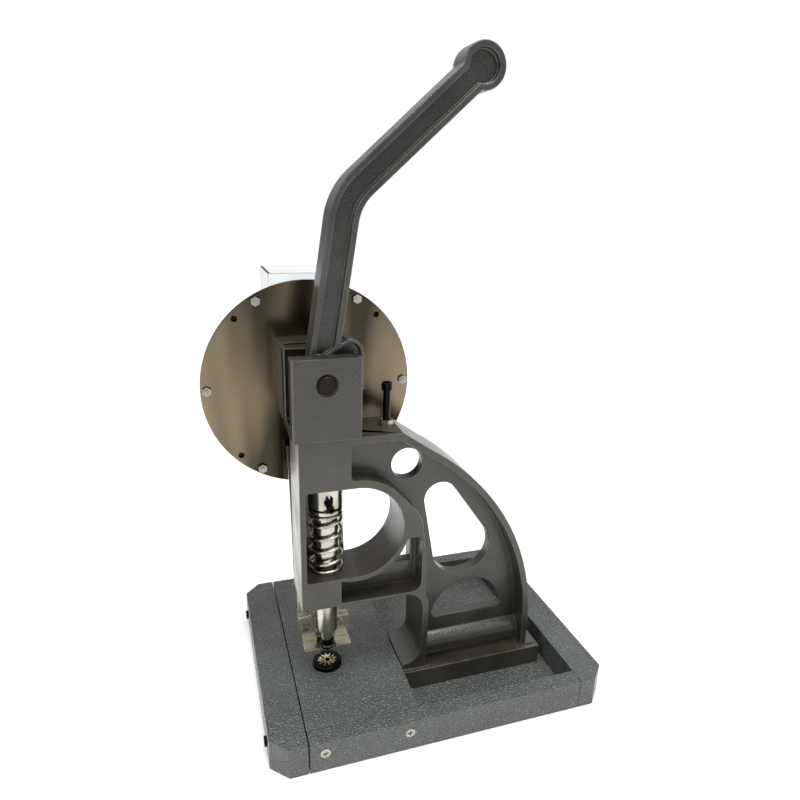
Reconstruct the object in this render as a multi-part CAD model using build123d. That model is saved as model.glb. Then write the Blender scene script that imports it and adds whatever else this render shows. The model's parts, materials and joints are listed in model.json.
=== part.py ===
from build123d import *
import os
from math import atan2, cos, hypot, pi, radians, sin, sqrt, tan

# Hand lever press with a drum feeder, in millimetres.
# Frame: +X to the operator's right, +Y to the rear, +Z up.
# Origin: centre of the underside of the base.

# ---------------------------------------------------------------- base
base_length = 300.0
base_width = 227.0
base_height = 28.0
corner_chamfer = 14.0
front_bar_depth = 29.0
rear_bar_depth = 28.5
side_bar_width = 14.5
floor_thickness = 3.0
front_gap = 0.8
table_rear_y = -25.5
side_screw_r = 2.5
side_screw_head_r = 4.1
side_screw_pitch = 70.0
front_bolt_r = 2.5
front_bolt_span = 168.0
front_bolt_z = 12.5
front_bolt_rise = 2.2

# ---------------------------------------------------------------- frame casting
frame_x = 27.0
frame_half = 22.5
web_half = 5.0
rim_wall = 6.0
front_y = -113.4
window_wall = 4.9
deck_z = 253.0
deck_end_y = -29.0
slope_end_y = -3.5
arc_centre_y = -116.3
arc_centre_z = 49.3
arc_r = 217.6
throat_y = -66.4
throat_z = 168.5
throat_r = 40.5
ring_wall = 7.0
upper_head_y = -71.5
lower_head_y = -80.0
arm_bottom_z = 101.5
gap_rear_y = -6.8
gap_top_r = 17.0
gap_bottom_r = 17.0
pillar_profile = [(-7.7, 181.8), (-2.7, 171.0), (1.8, 135.0)]
pillar_base_width = 4.9
pillar_top_deg = 38.7
arm_floor = 2.7
arm_end_wall = 2.4
arm_pocket_top_z = 157.0
throat_rib = 4.8
foot_half = 26.7
foot_top_z = 22.0
foot_rear_y = 114.0
foot_front_bolt_y = 4.0
boss_r = 14.0
boss_z = 32.0
round_hole_y = -19.6
round_hole_z = 218.7
round_hole_r = 13.5
kidney_circles = [(13.0, 182.0, 15.2), (33.5, 130.5, 26.0), (38.0, 130.5, 25.0)]
arch_y = 44.3
arch_z = 60.0
arch_r = 35.5
slot_floor_z = 125.5
slot_rear_y = -14.5
web_margin = 2.5
arm_rear_low_r = 8.0
arm_rear_high_r = 5.3
arm_front_high_r = 4.0
slot_corner_r = 2.5
pocket_corner_r = 4.0

# ---------------------------------------------------------------- clevis and lever
clevis_half = 27.0
clevis_front_y = -117.8
clevis_rear_y = -64.0
clevis_height = 65.0
ear_thickness = 15.0
clevis_floor = 8.0
pin_y = -91.0
pin_z = 298.0
pin_r = 7.0
pin_ring_r = 8.6
pin_ring_depth = 1.2
pin_rise = 1.5
run_clearance = 0.05
lever_thickness = 22.0
lever_width = 22.5
lever_rim = 4.8
lever_recess = 4.5
lever_bend_y = -72.1
lever_bend_z = 430.8
lever_end_y = 28.5
lever_end_z = 522.5
lever_bend_r = 45.0
lever_foot_dy = -1.5
knob_r = 16.5
heel_points = [(0.0, 0.0), (0.0, 18.5), (19.5, 30.8), (32.0, 29.5), (32.5, -10.0), (6.6, -10.0)]
heel_corner_r = 11.0
heel_rim = 3.0
recess_start = 18.0
lever_swing_deg = 80.0
stop_y = -37.0
stop_head_z = 283.5

# ---------------------------------------------------------------- ram and tooling
ram_y = -88.8
ram_r = 11.0
ram_low_r = 9.3
ram_shoulder_z = 143.0
ram_low_end_z = 64.0
ram_end_chamfer = 2.0
ram_stroke = 10.5
cam_base = 12.0
upper_bush_r = 15.0
upper_bush_drop = 22.0
notch_width = 7.4
notch_height = 15.0
lower_bush_r = 12.0
cross_screw_r = 3.0
cross_screw_z = 194.0
cross_screw_reach = 25.0
collar_r = 14.6
collar_height = 3.6
spring_r = 14.8
spring_wire_r = 1.3
spring_free_turns = 4.6
neck_r = 5.5
neck_height = 8.0
punch_body_r = 6.0
punch_r = 5.2
punch_height = 10.0
punch_tip_r = 2.3
punch_tip_length = 2.2
punch_ring_r = 6.3
punch_ring_drop = 5.5
punch_ring_height = 2.0
die_r = 12.9
die_rise = 3.8
die_bore_r = 8.4
crown_r = 8.4
crown_fins = 12

# ---------------------------------------------------------------- jaws
jaw_pivot_z = 65.0
front_pivot_dy = 18.1
rear_pivot_dy = 13.0
front_plate = [(24.0, 75.0), (12.7, 77.5)]
rear_plate = [(21.3, 71.0), (10.5, 71.5)]
front_lip_end = 20.8
rear_lip_end = 21.0
carrier_half_y = 24.0
carrier_drop = 7.0
jaw_plate_thickness = 4.0
jaw_lip_low_z = 44.0
jaw_lip_high_z = 49.5
jaw_lip_reach = 6.0
jaw_plate_inner = 7.5
jaw_notch_r = 6.9
jaw_gap = 0.6
jaw_screw_r = 1.5
jaw_screw_head_r = 3.4
jaw_screw_head_height = 2.8

# ---------------------------------------------------------------- drum feeder
drum_y = -90.3
drum_z = 274.0
plate_near_x = -32.0
plate_thickness = 3.0
plate_r = 91.0
screw_circle_r = 85.6
drum_screw_count = 6
hole_circle_r = 85.2
casing_r = 74.0
casing_wall = 3.0
casing_depth = 68.0
flange_thickness = 2.0
cover_thickness = 4.0
hopper_width = 62.0
hopper_wall = 2.5
hopper_top_z = 369.5
hopper_margin = 4.0
rotor_shaft_r = 5.0
rotor_hub_r = 16.0
rotor_paddles = 8
crank_x = -3.0
crank_thickness = 4.0
crank_reach = 10.0
link_thickness = 3.0
chute_front_y = -112.8
chute_rear_y = -66.0
chute_thickness = 3.0
chute_points = [(-24.0, 222.0), (-16.5, 199.0), (-8.0, 148.0), (-3.0, 108.0), (8.5, 69.5), (13.0, 49.0)]
tongue_half_width = 8.0
tongue_top_z = 108.0
standoff_r = 4.0
standoff_screw_r = 2.0
standoff_grip = 7.5
bracket_gap = 2.0
pocket_floor_drop = 15.5
pocket_roof = 4.0
slit_width = 7.0
slit_front_wall = 3.0


def box(x_low, x_high, y_low, y_high, z_low, z_high):
    """Block between two corners."""
    size = (x_high - x_low, y_high - y_low, z_high - z_low)
    centre = ((x_low + x_high) / 2, (y_low + y_high) / 2, (z_low + z_high) / 2)
    return Pos(*centre) * Box(*size)


def rod_x(radius, x_low, x_high, y, z):
    """Round bar along X."""
    return Pos((x_low + x_high) / 2, y, z) * Rot(0, 90, 0) * Cylinder(radius, x_high - x_low)


def rod_y(radius, y_low, y_high, x, z):
    """Round bar along Y."""
    return Pos(x, (y_low + y_high) / 2, z) * Rot(90, 0, 0) * Cylinder(radius, y_high - y_low)


def rod_z(radius, z_low, z_high, x, y):
    """Round bar along Z."""
    return Pos(x, y, (z_low + z_high) / 2) * Cylinder(radius, z_high - z_low)


def side_plane(x):
    """Sketch plane whose axes are Y and Z, facing +X."""
    return Plane(origin=(x, 0, 0), x_dir=(0, 1, 0), z_dir=(1, 0, 0))


def slab(sketch, x_low, x_high):
    """Side-view sketch made solid between two X positions."""
    return extrude(side_plane(x_low) * sketch, x_high - x_low)


def polygon(*points):
    """Closed straight-sided face."""
    return make_face(Polyline(*points, close=True))


def disc(y, z, radius):
    """Round face in a side-view sketch."""
    return Pos(y, z) * Circle(radius)


def rect(y_low, y_high, z_low, z_high):
    """Rectangular face in a side-view sketch."""
    return Pos((y_low + y_high) / 2, (z_low + z_high) / 2) * Rectangle(y_high - y_low, z_high - z_low)


def hex_bar(flats, z_low, z_high, x, y):
    """Hexagonal bar along Z, given its width across flats."""
    return Pos(x, y, z_low) * extrude(RegularPolygon(flats / 2, 6, major_radius=False), z_high - z_low)


def save(name, shape):
    """Writes one node."""
    export_step(shape, "parts/" + name + ".step")


def save_group(name, shapes):
    """Writes several separate solids as one node."""
    export_step(Compound(children=shapes), "parts/" + name + ".step")


os.makedirs("parts", exist_ok=True)

front = -base_length / 2
rear = base_length / 2
side = base_width / 2
table_front_y = front + front_bar_depth + front_gap
rear_bar_y = rear - rear_bar_depth
inner_side = side - side_bar_width

# ---------------------------------------------------------------- base pieces


def make_base():
    """Tray of four bars around a floor plate, with the table block at the front."""
    floor = box(-inner_side, inner_side, table_front_y, rear_bar_y, 0, floor_thickness)
    front_bar = box(-side, side, front, front + front_bar_depth, 0, base_height)
    front_corners = front_bar.edges().filter_by(Axis.Z).group_by(Axis.Y)[0]
    front_bar = chamfer(front_corners, corner_chamfer)
    rear_bar = box(-side, side, rear_bar_y, rear, 0, base_height)
    rear_corners = rear_bar.edges().filter_by(Axis.Z).group_by(Axis.Y)[-1]
    rear_bar = chamfer(rear_corners, corner_chamfer)
    right_bar = box(inner_side, side, table_front_y, rear_bar_y, 0, base_height)
    left_bar = box(-side, -inner_side, table_front_y, rear_bar_y, 0, base_height)
    table = box(-inner_side, inner_side, table_front_y, table_rear_y, floor_thickness, base_height)
    return floor, front_bar, rear_bar, right_bar, left_bar, table


floor_plate, front_bar, rear_bar, right_bar, left_bar, table_block = make_base()

screw_z = base_height * 0.6
table_mid_y = (table_front_y + table_rear_y) / 2
side_screw_ys = [table_mid_y - side_screw_pitch / 2, table_mid_y + side_screw_pitch / 2]


def side_screw(sign, y):
    """Countersunk screw through a side bar into the table block, with a cross recess."""
    outer = sign * side
    head_depth = side_screw_head_r - side_screw_r
    cone = Pos(outer - sign * head_depth / 2, y, screw_z) * Rot(0, 90 * sign, 0)
    head = cone * Cone(side_screw_r, side_screw_head_r, head_depth)
    ends = sorted([outer - sign * (side_bar_width + 9), outer - sign * head_depth])
    shank = rod_x(side_screw_r, ends[0], ends[1], y, screw_z)
    recess_ends = sorted([outer - sign * 1.4, outer + sign * 1.0])
    arm = box(recess_ends[0], recess_ends[1], y - 2.4, y + 2.4, screw_z - 0.6, screw_z + 0.6)
    bar = box(recess_ends[0], recess_ends[1], y - 0.6, y + 0.6, screw_z - 2.4, screw_z + 2.4)
    return head + shank, head + shank - arm - bar


side_screws = []
for sign in (1, -1):
    for screw_y in side_screw_ys:
        envelope, screw = side_screw(sign, screw_y)
        side_screws.append(screw)
        table_block -= envelope
        if sign > 0:
            right_bar -= envelope
        else:
            left_bar -= envelope

front_bolts = []
for x in (-front_bolt_span / 2, front_bolt_span / 2):
    head_y = front - front_bolt_rise
    shank = rod_y(front_bolt_r, front, table_front_y + 14, x, front_bolt_z)
    head = rod_y(front_bolt_r * 5 / 3, head_y, front, x, front_bolt_z)
    socket = Pos(x, head_y, front_bolt_z) * Rot(90, 0, 0)
    socket = socket * extrude(RegularPolygon(front_bolt_r * 5 / 6, 6, major_radius=False), front_bolt_rise, both=True)
    front_bolts.append(head + shank - socket)
    front_bar -= shank
    table_block -= shank

# ---------------------------------------------------------------- frame casting

window_low_z = throat_z - throat_r
window_high_z = throat_z + throat_r
rim_foot_y = arc_centre_y + arc_r
slope_end_z = arc_centre_z + sqrt(arc_r ** 2 - (slope_end_y - arc_centre_y) ** 2)
toe_y = table_rear_y + front_gap


def frame_silhouette():
    """Outer side view of the casting above the foot, with the rounded working gap."""
    mid_angle = (atan2(slope_end_z - arc_centre_z, slope_end_y - arc_centre_y)) / 2
    mid = (arc_centre_y + arc_r * cos(mid_angle), arc_centre_z + arc_r * sin(mid_angle))
    top = Polyline((front_y, arm_bottom_z), (front_y, deck_z), (deck_end_y, deck_z), (slope_end_y, slope_end_z))
    rim = ThreePointArc((slope_end_y, slope_end_z), mid, (rim_foot_y, arc_centre_z))
    low = Polyline((rim_foot_y, arc_centre_z), (rim_foot_y, floor_thickness), (toe_y, floor_thickness),
                   (toe_y, base_height), (gap_rear_y, base_height), (gap_rear_y, arm_bottom_z),
                   (front_y, arm_bottom_z))
    face = make_face([*top.edges(), rim.edge(), *low.edges()])
    gap_low = face.vertices().sort_by_distance((gap_rear_y, base_height))[0]
    face = fillet(gap_low, min(gap_bottom_r, gap_rear_y - toe_y - 0.5))
    gap_high = face.vertices().sort_by_distance((gap_rear_y, arm_bottom_z))[0]
    return fillet(gap_high, gap_top_r)


def web_holes():
    """Round hole, kidney, arch and the slot beside the throat ring."""
    round_hole = disc(round_hole_y, round_hole_z, round_hole_r)
    outline = [disc(y, z, r).edge() for y, z, r in kidney_circles]
    kidney = make_hull(outline)
    arch = disc(arch_y, arch_z, arch_r) & rect(arch_y - arch_r, arch_y + arch_r, arch_z, arch_z + arch_r)
    arch = fillet(arch.vertices(), 5.0)
    slot = rect(throat_y, slot_rear_y, slot_floor_z, arm_pocket_top_z - web_margin)
    slot = slot - disc(throat_y, throat_z, throat_r + throat_rib + web_margin)
    slot = fillet(slot.vertices().group_by(Axis.Y)[-1], slot_corner_r)
    return round_hole, kidney, arch, slot


def make_frame():
    """Casting: web, rim, ring, ribs, heads, foot and boss in one solid."""
    silhouette = frame_silhouette()
    inner = offset(silhouette, -rim_wall, kind=Kind.INTERSECTION)
    ring = disc(throat_y, throat_z, throat_r + ring_wall)
    ring &= rect(throat_y - throat_r, throat_y + throat_r * 2, 0, deck_z)
    top_angle = radians(pillar_top_deg)
    pillar_top = (throat_y + (throat_r + ring_wall) * cos(top_angle), throat_z + (throat_r + ring_wall) * sin(top_angle))
    pillar_foot = (gap_rear_y + pillar_base_width, foot_top_z)
    pillar = [(gap_rear_y + dy, z) for dy, z in pillar_profile]
    block = polygon((throat_y, throat_z), pillar_top, *pillar, pillar_foot, (throat_y, foot_top_z))
    upper_head = rect(front_y, upper_head_y, window_high_z, deck_z)
    lower_head = rect(front_y, lower_head_y, arm_bottom_z, window_low_z)
    front_wall = rect(front_y, front_y + window_wall, arm_bottom_z, deck_z)
    foot_rail = rect(gap_rear_y, rim_foot_y, floor_thickness, foot_top_z)
    throat = disc(throat_y, throat_z, throat_r) + rect(front_y + window_wall, throat_y, window_low_z, window_high_z)
    pockets = inner - ring - block - upper_head - lower_head - front_wall - foot_rail - throat
    pocket = pockets.faces().sort_by(SortBy.AREA)[-1]
    corners = [
        (upper_head_y, deck_z - rim_wall), (upper_head_y, window_high_z + ring_wall),
        (rim_foot_y - rim_wall, foot_top_z), pillar_foot, (deck_end_y, deck_z - rim_wall),
    ]
    pocket = fillet([pocket.vertices().sort_by_distance(corner)[0] for corner in corners], pocket_corner_r)
    arm_rear_y = gap_rear_y - arm_end_wall
    arm_low_z = arm_bottom_z + arm_floor
    arm_pocket = rect(lower_head_y, arm_rear_y, arm_low_z, arm_pocket_top_z)
    arm_pocket = arm_pocket - disc(throat_y, throat_z, throat_r + throat_rib)
    arm_high_dy = sqrt((throat_r + throat_rib) ** 2 - (throat_z - arm_pocket_top_z) ** 2)
    rounded = [
        ((arm_rear_y, arm_low_z), arm_rear_low_r),
        ((arm_rear_y, arm_pocket_top_z), arm_rear_high_r),
        ((throat_y + arm_high_dy, arm_pocket_top_z), arm_front_high_r),
    ]
    for corner, radius in rounded:
        arm_pocket = fillet(arm_pocket.vertices().sort_by_distance(corner)[0], radius)
    thick = silhouette - pocket - arm_pocket
    web = silhouette
    for hole in web_holes():
        web -= hole
    body = slab(thick - throat, -frame_half, frame_half) + slab(web - throat, -web_half, web_half)
    boss_rear = rim_foot_y - rim_wall / 2
    body += rod_y(boss_r, 0, boss_rear, 0, boss_z)
    body += box(-foot_half, foot_half, toe_y, foot_rear_y, floor_thickness, foot_top_z)
    return Pos(frame_x, 0, 0) * body


frame_casting = make_frame()
frame_casting -= rod_z(upper_bush_r, window_high_z - 1, deck_z + 1, frame_x, ram_y)
frame_casting -= rod_z(lower_bush_r, arm_bottom_z - 1, window_low_z + 1, frame_x, ram_y)

foot_bolt_r = 3.0
foot_bolt_head_r = 5.0
foot_bolt_reach = 16.0
foot_bolts = []
for dx in (-18.0, 18.0):
    for y in (foot_front_bolt_y, foot_rear_y - 14.0):
        x = frame_x + dx
        head_height = foot_bolt_head_r - foot_bolt_r
        head = Pos(x, y, head_height / 2) * Cone(foot_bolt_head_r, foot_bolt_r, head_height)
        shank = rod_z(foot_bolt_r, head_height, foot_bolt_reach, x, y)
        socket = hex_bar(foot_bolt_r, -1.0, head_height * 0.7, x, y)
        foot_bolts.append(head + shank - socket)
        frame_casting -= shank
        floor_plate -= head + shank

# ---------------------------------------------------------------- clevis, bushings and stop screw

clevis_top_z = deck_z + clevis_height
slot_half = clevis_half - ear_thickness
slot_bottom_z = deck_z + clevis_floor
ear_far_x = frame_x - clevis_half
ear_near_x = frame_x + clevis_half


def make_clevis():
    """Two ears and a floor, bored for the pivot pin, the ram and two screws."""
    block = box(ear_far_x, ear_near_x, clevis_front_y, clevis_rear_y, deck_z, clevis_top_z)
    block = chamfer(block.edges().filter_by(Axis.Z), 1.0)
    slot = box(frame_x - slot_half, frame_x + slot_half, clevis_front_y - 1, clevis_rear_y + 1,
               slot_bottom_z, clevis_top_z + 1)
    block -= slot
    block -= rod_x(pin_r + run_clearance, ear_far_x - 1, ear_near_x + 1, pin_y, pin_z)
    block -= rod_x(pin_ring_r, ear_near_x - pin_ring_depth, ear_near_x + 1, pin_y, pin_z)
    return block - rod_z(ram_r + run_clearance, deck_z - 1, slot_bottom_z + 1, frame_x, ram_y)


clevis_block = make_clevis()
clevis_screw_r = 2.5
clevis_screws = []
for y in (ram_y - 18.3, ram_y + 18.3):
    head_top = slot_bottom_z + clevis_screw_r * 2
    head = rod_z(clevis_screw_r * 1.7, slot_bottom_z, head_top, frame_x, y)
    shank = rod_z(clevis_screw_r, deck_z - 14, slot_bottom_z, frame_x, y)
    socket = hex_bar(clevis_screw_r * 5 / 3, head_top - clevis_screw_r, head_top + 1, frame_x, y)
    clevis_screws.append(head + shank - socket)
    clevis_block -= shank
    frame_casting -= shank


def make_upper_bushing():
    """Guide bushing whose lower end is notched for the cross screw."""
    low_z = window_high_z - upper_bush_drop
    bush = rod_z(upper_bush_r, low_z, deck_z, frame_x, ram_y)
    bush = chamfer(bush.edges().filter_by(GeomType.CIRCLE).sort_by(Axis.Z)[0], 1.6)
    bush -= rod_z(ram_r + run_clearance, low_z - 1, deck_z + 1, frame_x, ram_y)
    notch_top = low_z + notch_height
    notch = box(frame_x, frame_x + upper_bush_r * 2, ram_y - notch_width / 2, ram_y + notch_width / 2,
                low_z - 1, notch_top - notch_width / 2)
    notch += rod_x(notch_width / 2, frame_x, frame_x + upper_bush_r * 2, ram_y, notch_top - notch_width / 2)
    return bush - notch


upper_bushing = make_upper_bushing()
lower_bushing = rod_z(lower_bush_r, arm_bottom_z, window_low_z, frame_x, ram_y)
lower_bushing -= rod_z(ram_low_r + run_clearance, arm_bottom_z - 1, window_low_z + 1, frame_x, ram_y)

stop_r = 3.0
stop_head_r = 4.4
stop_screw = rod_z(stop_r, deck_z - rim_wall - 6, stop_head_z, frame_x, stop_y)
stop_screw += rod_z(stop_head_r, stop_head_z, stop_head_z + stop_r * 2, frame_x, stop_y)
stop_screw -= hex_bar(stop_r * 5 / 3, stop_head_z + stop_r, stop_head_z + stop_r * 3, frame_x, stop_y)
stop_lock_nut = hex_bar(stop_r * 10 / 3, deck_z, deck_z + stop_r * 1.7, frame_x, stop_y)
stop_lock_nut -= rod_z(stop_r, deck_z - 1, deck_z + stop_r * 3, frame_x, stop_y)
stop_tapping = rod_z(stop_r, deck_z - rim_wall - 8, deck_z + 1, frame_x, stop_y)
stop_boss = rod_z(stop_head_r + 1.5, deck_z - rim_wall - 8, deck_z - rim_wall + 1, frame_x, stop_y)
frame_casting += stop_boss
frame_casting -= stop_tapping

# ---------------------------------------------------------------- ram, punch and die

ram_top_z = pin_z - cam_base - run_clearance
punch_low_z = ram_low_end_z - neck_height - punch_height
collar_top_z = window_high_z - upper_bush_drop - 0.5
collar_low_z = collar_top_z - collar_height
spring_low_z = window_low_z + 0.05


def make_ram():
    """Stepped shaft: wide above the shoulder, slim below, with a neck at the end."""
    shaft = rod_z(ram_r, ram_shoulder_z, ram_top_z, frame_x, ram_y)
    shaft = chamfer(shaft.edges().filter_by(GeomType.CIRCLE).sort_by(Axis.Z)[-1], 0.8)
    slim = rod_z(ram_low_r, ram_low_end_z, ram_shoulder_z, frame_x, ram_y)
    slim = chamfer(slim.edges().filter_by(GeomType.CIRCLE).sort_by(Axis.Z)[0], ram_end_chamfer)
    neck = rod_z(neck_r, ram_low_end_z - neck_height, ram_low_end_z, frame_x, ram_y)
    shaft = shaft + slim + neck
    return shaft - rod_x(cross_screw_r, frame_x, frame_x + ram_r + 1, ram_y, cross_screw_z)


ram_shaft = make_ram()
punch_high_z = punch_low_z + punch_height
ring_high_z = punch_high_z - punch_ring_drop
punch = rod_z(punch_r, punch_low_z, ring_high_z, frame_x, ram_y)
punch += rod_z(punch_body_r, ring_high_z, punch_high_z, frame_x, ram_y)
punch += rod_z(punch_tip_r, punch_low_z - punch_tip_length, punch_low_z, frame_x, ram_y)
punch_ring = rod_z(punch_ring_r, ring_high_z - punch_ring_height, ring_high_z, frame_x, ram_y)
punch_ring -= rod_z(punch_r, punch_low_z, punch_high_z, frame_x, ram_y)
cross_screw = rod_x(cross_screw_r, frame_x, frame_x + cross_screw_reach, ram_y, cross_screw_z)
screw_socket = Pos(frame_x + cross_screw_reach - cross_screw_r, ram_y, cross_screw_z) * Rot(0, 90, 0)
cross_screw -= screw_socket * extrude(RegularPolygon(1.7, 6), cross_screw_r * 2)
spring_collar = rod_z(collar_r, collar_low_z, collar_top_z, frame_x, ram_y)
spring_collar = chamfer(spring_collar.edges().filter_by(GeomType.CIRCLE), 0.5)
spring_collar -= rod_z(ram_r, collar_low_z - 1, collar_top_z + 1, frame_x, ram_y)


def make_spring():
    """Open coil between the window floor and the collar, with closed end turns."""
    coil_r = spring_r - spring_wire_r
    low = spring_low_z + spring_wire_r
    high = collar_low_z - 0.1 - spring_wire_r
    pitch = (high - low) / spring_free_turns
    path = Pos(frame_x, ram_y, low) * Helix(pitch, high - low, coil_r)
    start = path @ 0
    profile = Plane(origin=start, z_dir=path % 0) * Circle(spring_wire_r)
    return sweep(profile, path=path)


return_spring = make_spring()


def make_die():
    """Round die with a hollow top, standing in the table block."""
    top = base_height + die_rise
    body = rod_z(die_r, base_height - 6, top, frame_x, ram_y)
    body = chamfer(body.edges().filter_by(GeomType.CIRCLE).sort_by(Axis.Z)[-1], 0.8)
    body -= rod_z(die_bore_r, base_height - 1, top + 1, frame_x, ram_y)
    crown = rod_z(crown_r, base_height - 1, top - 1.2, frame_x, ram_y)
    for index in range(crown_fins):
        turn = Pos(frame_x, ram_y, 0) * Rot(0, 0, index * 360 / crown_fins)
        crown += turn * box(crown_r * 0.45, crown_r - 0.1, -0.45, 0.45, top - 1.3, top - 0.2)
    crown += rod_z(crown_r * 0.36, top - 1.3, top - 0.5, frame_x, ram_y)
    crown -= rod_z(crown_r * 0.28, base_height - 0.5, top + 1, frame_x, ram_y)
    return body, crown


lower_die, die_crown = make_die()
table_block -= rod_z(die_r, base_height - 6, base_height + 1, frame_x, ram_y)

# ---------------------------------------------------------------- lever

lever_foot_y = pin_y + lever_foot_dy
bend_run_y = lever_bend_y - lever_foot_y
bend_run_z = lever_bend_z - pin_z
low_angle = atan2(bend_run_z, bend_run_y)
high_angle = atan2(lever_end_z - lever_bend_z, lever_end_y - lever_bend_y)


def lever_outline(width, end_radius, start_trim):
    """Closed face round the bent arm: straight, bend, straight, round end."""
    turn = low_angle - high_angle
    cut = lever_bend_r * tan(turn / 2)
    out_low = (-sin(low_angle), cos(low_angle))
    out_high = (-sin(high_angle), cos(high_angle))
    bend = (lever_bend_y, lever_bend_z)
    low_end = (bend[0] - cut * cos(low_angle), bend[1] - cut * sin(low_angle))
    high_start = (bend[0] + cut * cos(high_angle), bend[1] + cut * sin(high_angle))
    centre = (low_end[0] - lever_bend_r * out_low[0], low_end[1] - lever_bend_r * out_low[1])
    mid_angle = (low_angle + high_angle) / 2 + pi / 2
    start = (lever_foot_y + start_trim * cos(low_angle), pin_z + start_trim * sin(low_angle))

    def shift(point, normal, amount):
        return (point[0] + normal[0] * amount, point[1] + normal[1] * amount)

    def on_bend(amount):
        radius = lever_bend_r + amount
        return (centre[0] + radius * cos(mid_angle), centre[1] + radius * sin(mid_angle))

    half = width / 2
    end = (lever_end_y, lever_end_z)
    edges = [
        Line(shift(start, out_low, half), shift(low_end, out_low, half)),
        ThreePointArc(shift(low_end, out_low, half), on_bend(half), shift(high_start, out_high, half)),
        Line(shift(high_start, out_high, half), shift(end, out_high, half)),
        Line(shift(end, out_high, half), shift(end, out_high, -half)),
        Line(shift(end, out_high, -half), shift(high_start, out_high, -half)),
        ThreePointArc(shift(high_start, out_high, -half), on_bend(-half), shift(low_end, out_low, -half)),
        Line(shift(low_end, out_low, -half), shift(start, out_low, -half)),
        Line(shift(start, out_low, -half), shift(start, out_low, half)),
    ]
    return make_face([piece.edge() for piece in edges]) + disc(end[0], end[1], end_radius)


def cam_outline():
    """Hub outline: a cam for a flat follower, whose lift grows evenly with the turn."""
    swing = radians(lever_swing_deg)
    rate = ram_stroke / swing
    points = []
    steps = 24
    for index in range(steps + 1):
        turn = swing * index / steps
        direction = -pi / 2 - turn
        lift = cam_base + rate * turn
        normal = (cos(direction), sin(direction))
        tangent = (sin(direction), -cos(direction))
        points.append((pin_y + lift * normal[0] + rate * tangent[0], pin_z + lift * normal[1] + rate * tangent[1]))
    return points


def hub_face():
    """Cam and round hub in the side view."""
    points = cam_outline()
    back = [(pin_y, pin_z + cam_base), (pin_y + cam_base, pin_z)]
    closing = Polyline(points[-1], *back, points[0])
    return make_face([Spline(*points).edge(), *closing.edges()]) + disc(pin_y, pin_z, cam_base)


def heel_face():
    """Rear heel: sloping top edge, rounded back corner and a level lower edge."""
    face = polygon(*[(pin_y + dy, pin_z + dz) for dy, dz in heel_points])
    corner_y, corner_z = heel_points[3]
    corner = face.vertices().sort_by_distance((pin_y + corner_y, pin_z + corner_z))[0]
    return fillet(corner, heel_corner_r)


def make_handle():
    """Solid lever: outline, hub, heel, side recesses and the pin bore."""
    half = lever_thickness / 2
    outline = lever_outline(lever_width, knob_r, 0) + hub_face() + heel_face()
    recess = lever_outline(lever_width - 2 * lever_rim, knob_r - lever_rim, recess_start) - heel_face()
    heel_recess = offset(heel_face(), -heel_rim, kind=Kind.INTERSECTION) - disc(pin_y, pin_z, cam_base)
    recess += heel_recess
    body = slab(outline, frame_x - half, frame_x + half)
    body -= slab(recess, frame_x + half - lever_recess, frame_x + half + 1)
    body -= slab(recess, frame_x - half - 1, frame_x - half + lever_recess)
    return body - rod_x(pin_r, frame_x - half - 1, frame_x + half + 1, pin_y, pin_z)


lever_handle = make_handle()
pin_near_x = ear_near_x + pin_rise
pin_far_x = crank_x - crank_thickness / 2 - 0.2
pivot_pin = rod_x(pin_r, pin_far_x, pin_near_x, pin_y, pin_z)
pivot_pin = chamfer(pivot_pin.edges().filter_by(GeomType.CIRCLE).sort_by(Axis.X)[-1], 0.9)

# ---------------------------------------------------------------- feed crank, link and rotor

link_near_x = crank_x - crank_thickness / 2 - 0.3
link_far_x = link_near_x - link_thickness
slot_near_x = ear_far_x
slit_far_x = slot_near_x - slit_width
slot_far_x = link_far_x - crank_thickness - 1.4
arm_near_x = link_far_x - 0.3
arm_far_x = arm_near_x - crank_thickness + 0.6
crank_pin_r = 2.0
crank_y = pin_y - crank_reach
arm_y = drum_y - crank_reach


def lug(y, z, end_y, end_z, root_r, end_r, x_low, x_high):
    """Flat lever with two round ends."""
    outline = make_hull([disc(y, z, root_r).edge(), disc(end_y, end_z, end_r).edge()])
    return slab(outline, x_low, x_high)


crank_low_x = crank_x - crank_thickness / 2
crank_high_x = crank_x + crank_thickness / 2
feed_crank = lug(pin_y, pin_z, crank_y, pin_z, pin_r + 3, 4.0, crank_low_x, crank_high_x)
feed_crank -= rod_x(pin_r, crank_low_x - 1, crank_high_x + 1, pin_y, pin_z)
feed_crank += rod_x(crank_pin_r, link_far_x, crank_low_x, crank_y, pin_z)
feed_link = lug(crank_y, pin_z, arm_y, drum_z, 4.0, 4.0, link_far_x, link_near_x)
feed_link -= rod_x(crank_pin_r + run_clearance, link_far_x - 1, link_near_x + 1, crank_y, pin_z)
feed_link -= rod_x(crank_pin_r + 1.0, link_far_x - 1, link_near_x + 1, arm_y, drum_z)
feed_arm = lug(drum_y, drum_z, arm_y, drum_z, rotor_shaft_r + 3, 4.0, arm_far_x, arm_near_x)
feed_arm -= rod_x(rotor_shaft_r, arm_far_x - 1, arm_near_x + 1, drum_y, drum_z)
feed_arm += rod_x(crank_pin_r, arm_near_x, link_near_x, arm_y, drum_z)

bracket_far_x = plate_near_x
pocket_front_y = clevis_front_y + slit_front_wall
pocket_rear_y = drum_y + 13.0


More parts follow.
